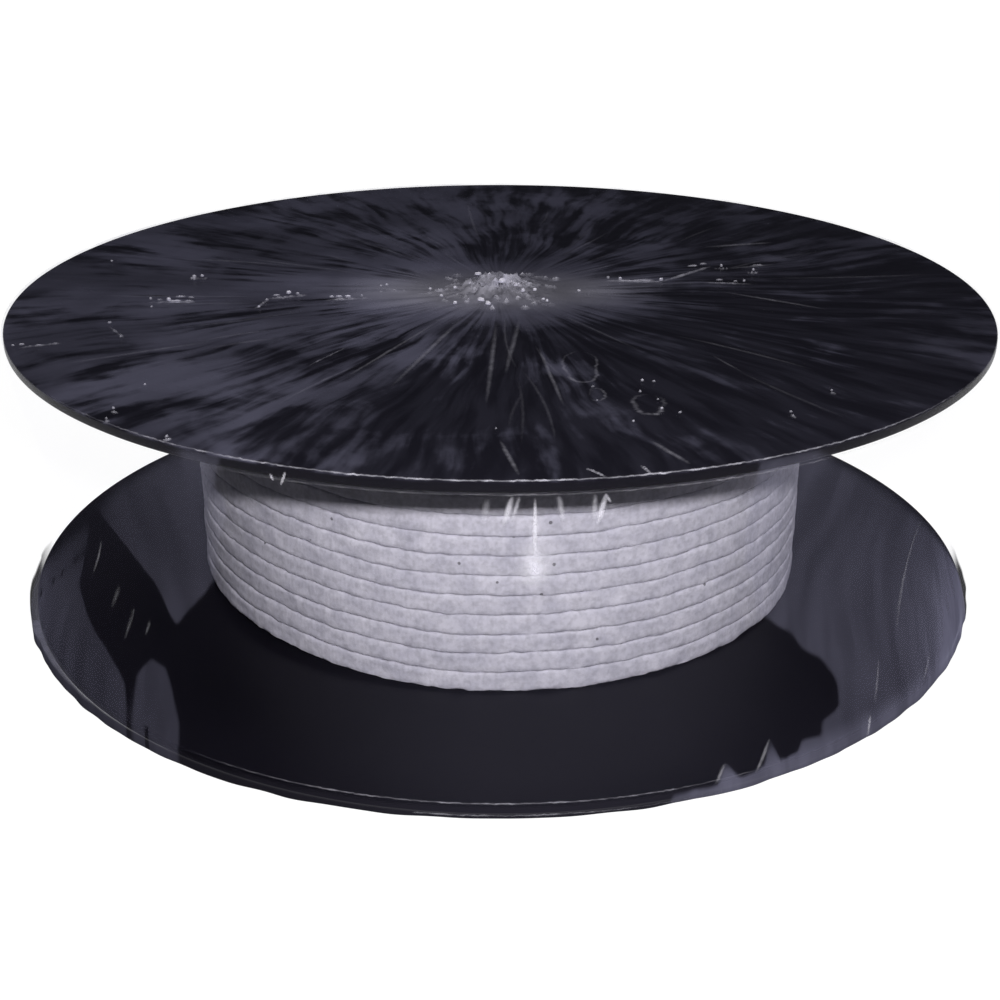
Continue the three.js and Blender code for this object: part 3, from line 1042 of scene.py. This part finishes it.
# Painted highlights on the gather itself
for right, back, length, size, heading in (
    (-6.0, 13.7, 3.4, 2.2, 0), (-3.0, 9.8, 2.6, 2.6, 60), (3.1, 6.9, 2.0, 1.4, 0),
    (-4.6, 5.9, 3.2, 2.0, 40), (-7.9, 0.3, 2.4, 2.0, 90), (-11.8, -0.7, 1.6, 1.6, 0),
    (0.4, -1.5, 3.4, 3.4, 30), (4.0, -3.3, 2.2, 2.8, 90), (8.9, -4.2, 1.8, 1.9, 0),
    (5.8, -6.0, 2.4, 2.6, 60), (10.9, -9.6, 2.0, 1.5, 30), (11.9, -10.4, 1.6, 1.8, 60),
    (-11.5, -12.3, 2.0, 1.8, 20), (-4.9, -11.4, 3.6, 2.6, -30), (-3.1, -13.6, 2.6, 2.6, -30),
    (-15.2, -6.1, 1.8, 1.6, 0), (-18.3, 0.2, 1.6, 1.3, 0), (20.4, -1.4, 1.6, 1.4, 0),
):
    from_middle = math.hypot(right, back) / 1000
    mound = knot_height * 1000 * (1 - smooth_step(from_middle, 0.001, knot_reach))
    spot = (right, back, top_mm + 0.4 + mound)
    add_bead(spot, length, size, heading, 0.55, 0.30, size)
# Three swirls in the right front, where the film has puckered in a ring
ring_steps = 60
for ring_right, ring_back, half_width, half_depth, gap_at, width, fold_white_and_highlight in (
    (18.3, -59.8, 4.2, 10.5, 90, 1.2, 0.12),
    (31.6, -84.2, 3.4, 6.0, 75, 1.8, 0.13),
    (20.9, -78.1, 1.8, 4.0, 200, 1.0, 0.08),
):
    turn = np.radians(np.linspace(gap_at + 6, gap_at + 354, ring_steps))
    uneven_round = 1 + 0.12 * np.sin(3 * turn + ring_right) + 0.10 * np.cos(2 * turn + ring_back)
    ring_x = ring_right + half_width * np.cos(turn) * uneven_round
    ring_y = ring_back + half_depth * np.sin(turn)
    loop = np.stack((ring_x, ring_y, np.full(ring_steps, top_mm)), axis=1) / 1000
    creases.append(((loop, upright(ring_steps)), width, 0.12, fold_white_and_highlight, 0.6))
# Tucks under the upper rim at the front, and creases down both sides
tucks = (
    ((1.1, 73.4, 0.3, 66.6), 1.7, 0.2, 0.36, 0.0),
    ((1.7, 73.3, 1.0, 67.6), 1.2, 0.2, 0.24, 0.0),
    ((5.1, 73.4, 5.6, 67.4), 1.5, 0.2, 0.20, 0.0),
    ((8.3, 73.4, 8.4, 66.8), 1.4, 0.2, 0.20, 0.0),
    ((9.3, 73.2, 8.7, 66.4), 1.6, 0.2, 0.42, 0.0),
    ((9.2, 73.3, 9.8, 71.2), 0.9, 0.3, 0.40, 0.3),
    ((-1.1, 72.8, -1.4, 67.6), 1.8, 0.2, 0.10, 0.0),
    # A long pale streak down the front, under the tucks, is a painted highlight
    ((3.05, 73.0, 3.2, 57.5), 1.2, 0.15, 0.60, 0.0),
    ((3.2, 66.0, 3.3, 51.0, 0.55), 9.5, 0.10, 0.34, 0.0),
    ((3.1, 64.0, 3.3, 53.0, 0.6), 4.4, 0.10, 0.40, 0.0),
    ((41.6, 6.0, 41.3, 0.6), 1.2, 0.3, 0.35, 0.2),
    ((22.4, 7.4, 21.2, 2.0), 1.3, 0.2, 0.14, 0.1),
    ((27.6, 10.2, 25.9, 3.0), 1.3, 0.2, 0.16, 0.1),
    ((54.4, 10.0, 52.4, 4.6), 1.2, 0.2, 0.18, 0.1),
    ((44.0, 17.7, 42.4, 8.0), 1.3, 0.2, 0.09, 0.1),
    ((52.3, 35.0, 48.0, 21.0), 1.3, 0.2, 0.08, 0.0),
    ((55.0, 43.0, 48.5, 24.0), 1.3, 0.2, 0.07, 0.0),
    ((-49.0, 41.5, -51.3, 31.5), 1.0, 0.2, 0.13, 0.1),
    ((-45.6, 33.0, -46.6, 27.0), 1.6, 0.2, 0.05, 0.2),
    ((-42.6, 30.0, -43.4, 22.0), 1.4, 0.2, 0.05, 0.2),
    ((-39.8, 29.0, -40.2, 25.0), 1.2, 0.2, 0.06, 0.2),
    ((-19.3, 75.4, -19.9, 72.2), 0.9, 0.3, 0.55, 0.3),
    ((-20.9, 74.6, -20.6, 73.0), 0.9, 0.3, 0.45, 0.3),
)
add_folds(down_the_side, tucks)
# Small tufts where the folds cross the upper rim
for spot, fold_white_and_highlight in (
    ((120.5, 7.9, 125.3, 9.3), 0.5),
    ((121, 13.0, 125.3, 13.3), 0.35),
    ((121, -42.4, 120.4, -41.6), 0.4),
    ((125.4, -40.6, 124.4, -40.4), 0.4),
    ((125.6, -32.6, 123.6, -32.2), 0.4),
):
    creases.append((on_the_top(*spot), 0.9, 0.4, fold_white_and_highlight, 0.5))


def round_the_rim(start_azimuth, end_azimuth, radius, height, tilt):
    """A line round a disc's edge, its crest tilted up from level by the given degrees."""
    count = int(abs(end_azimuth - start_azimuth) * 3)
    angle = np.radians(np.linspace(start_azimuth, end_azimuth, count))
    level_way = np.stack((np.sin(angle), -np.cos(angle), np.zeros(count)), axis=1)
    places = level_way * radius
    places[:, 2] = height
    slope = math.radians(tilt)
    return places, level_way * math.cos(slope) + np.array((0, 0, math.sin(slope)))


# The film is pulled hard over the discs' edges, and the bright lines along them are painted
# highlights
upper_face = upper_high[2] - disc_thickness
lower_face = flange_low[2] + disc_thickness
lower_edge_radius = film_rim + rim_slack + 0.0004
rim_painted_highlights = (
    ((-52, 64, film_rim - 0.0001, film_top - 0.0001, 45), 0.50, 0.10, 0.34, 0.6),
    ((-34, 62, film_rim - 0.0002, upper_face - 0.0002, 10), 0.45, 0.10, 0.08, 0.6),
    ((-34, 30, flange_radius + 0.0004, lower_face + 0.0004, 40), 0.45, 0.10, 0.22, 0.6),
    ((-46, 22, lower_edge_radius, 0.0012, 20), 0.45, 0.10, 0.16, 0.6),
)
add_folds(round_the_rim, rim_painted_highlights)
# Faint creases all over the top, the same kind as the sharp ones
faint_creases = 40
dice = np.random.default_rng(21)
for _ in range(faint_creases):
    azimuth = dice.uniform(0, 360)
    start = dice.uniform(20, 85)
    end = min(start + dice.uniform(12, 45), 123)
    spot = (start, azimuth, end, azimuth + dice.uniform(-4, 4))
    path = on_the_top(*spot, bow=dice.uniform(-0.04, 0.04))
    creases.append((path, dice.uniform(0.6, 1.3), 0.25, dice.uniform(0.02, 0.07), 0.15))

points, faces, whites_and_highlights = [], [], []
for seed, (path, width, height, fold_white_and_highlight, beads) in enumerate(creases):
    width_m, height_m = width / 1000, height / 1000
    more, ring, white = fold_of_film(path, width_m, height_m, fold_white_and_highlight, seed, beads)
    faces += [tuple(i + len(points) for i in face) for face in ring]
    points += more
    whites_and_highlights += white
mesh = bpy.data.meshes.new("film_creases")
mesh.from_pydata([tuple(point) for point in points], [], faces)
crease_set = bpy.data.objects.new("film_creases", mesh)
bpy.context.collection.objects.link(crease_set)
layer = mesh.attributes.new("fold_white_and_highlight", "FLOAT", "POINT")
layer.data.foreach_set("value", np.array(whites_and_highlights, np.float32))
edit(crease_set)
bpy.ops.mesh.select_all(action="SELECT")
bpy.ops.mesh.normals_make_consistent(inside=False)
bpy.ops.object.mode_set(mode="OBJECT")
bpy.ops.object.shade_smooth_by_angle(angle=math.radians(70))

folded_film = bpy.data.materials.new("folded_clear_film")
tree = nodes_of(folded_film)
place = add_node(tree, "ShaderNodeTexCoord").outputs["Object"]
# The pale colour of each fold, partly painted highlight
white = add_node(tree, "ShaderNodeAttribute", attribute_name="fold_white_and_highlight").outputs["Fac"]
cloudy = ramp(tree, uneven(tree, place, 700.0, 3.0), 0.3, 0.7, 0.45, 1.0)
clear = add_node(tree, "ShaderNodeBsdfTransparent", {"Color": (0.99, 0.99, 0.99, 1)})
crinkles = add_node(
    tree,
    "ShaderNodeBump",
    {"Height": uneven(tree, place, 900.0, 2.0), "Strength": 0.5, "Distance": 0.0003},
).outputs["Normal"]
gloss = add_node(
    tree,
    "ShaderNodeBsdfGlossy",
    {"Color": (1, 1, 1, 1), "Roughness": 0.16, "Normal": crinkles},
)
milk = add_node(tree, "ShaderNodeBsdfDiffuse", {"Color": (0.84, 0.83, 0.92, 1)})
body = mixed(tree, times(tree, white, cloudy), clear, milk)
shine = ramp(tree, white, 0.0, 0.5, 0.005, 0.09)
skin = mixed(tree, shine, body, gloss)
finish_material(tree, skin.outputs[0])
mesh.materials.append(folded_film)
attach(crease_set, "root")
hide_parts("film_wrap")
# Film this thin throws no shadow of its own
crease_set.visible_shadow = False
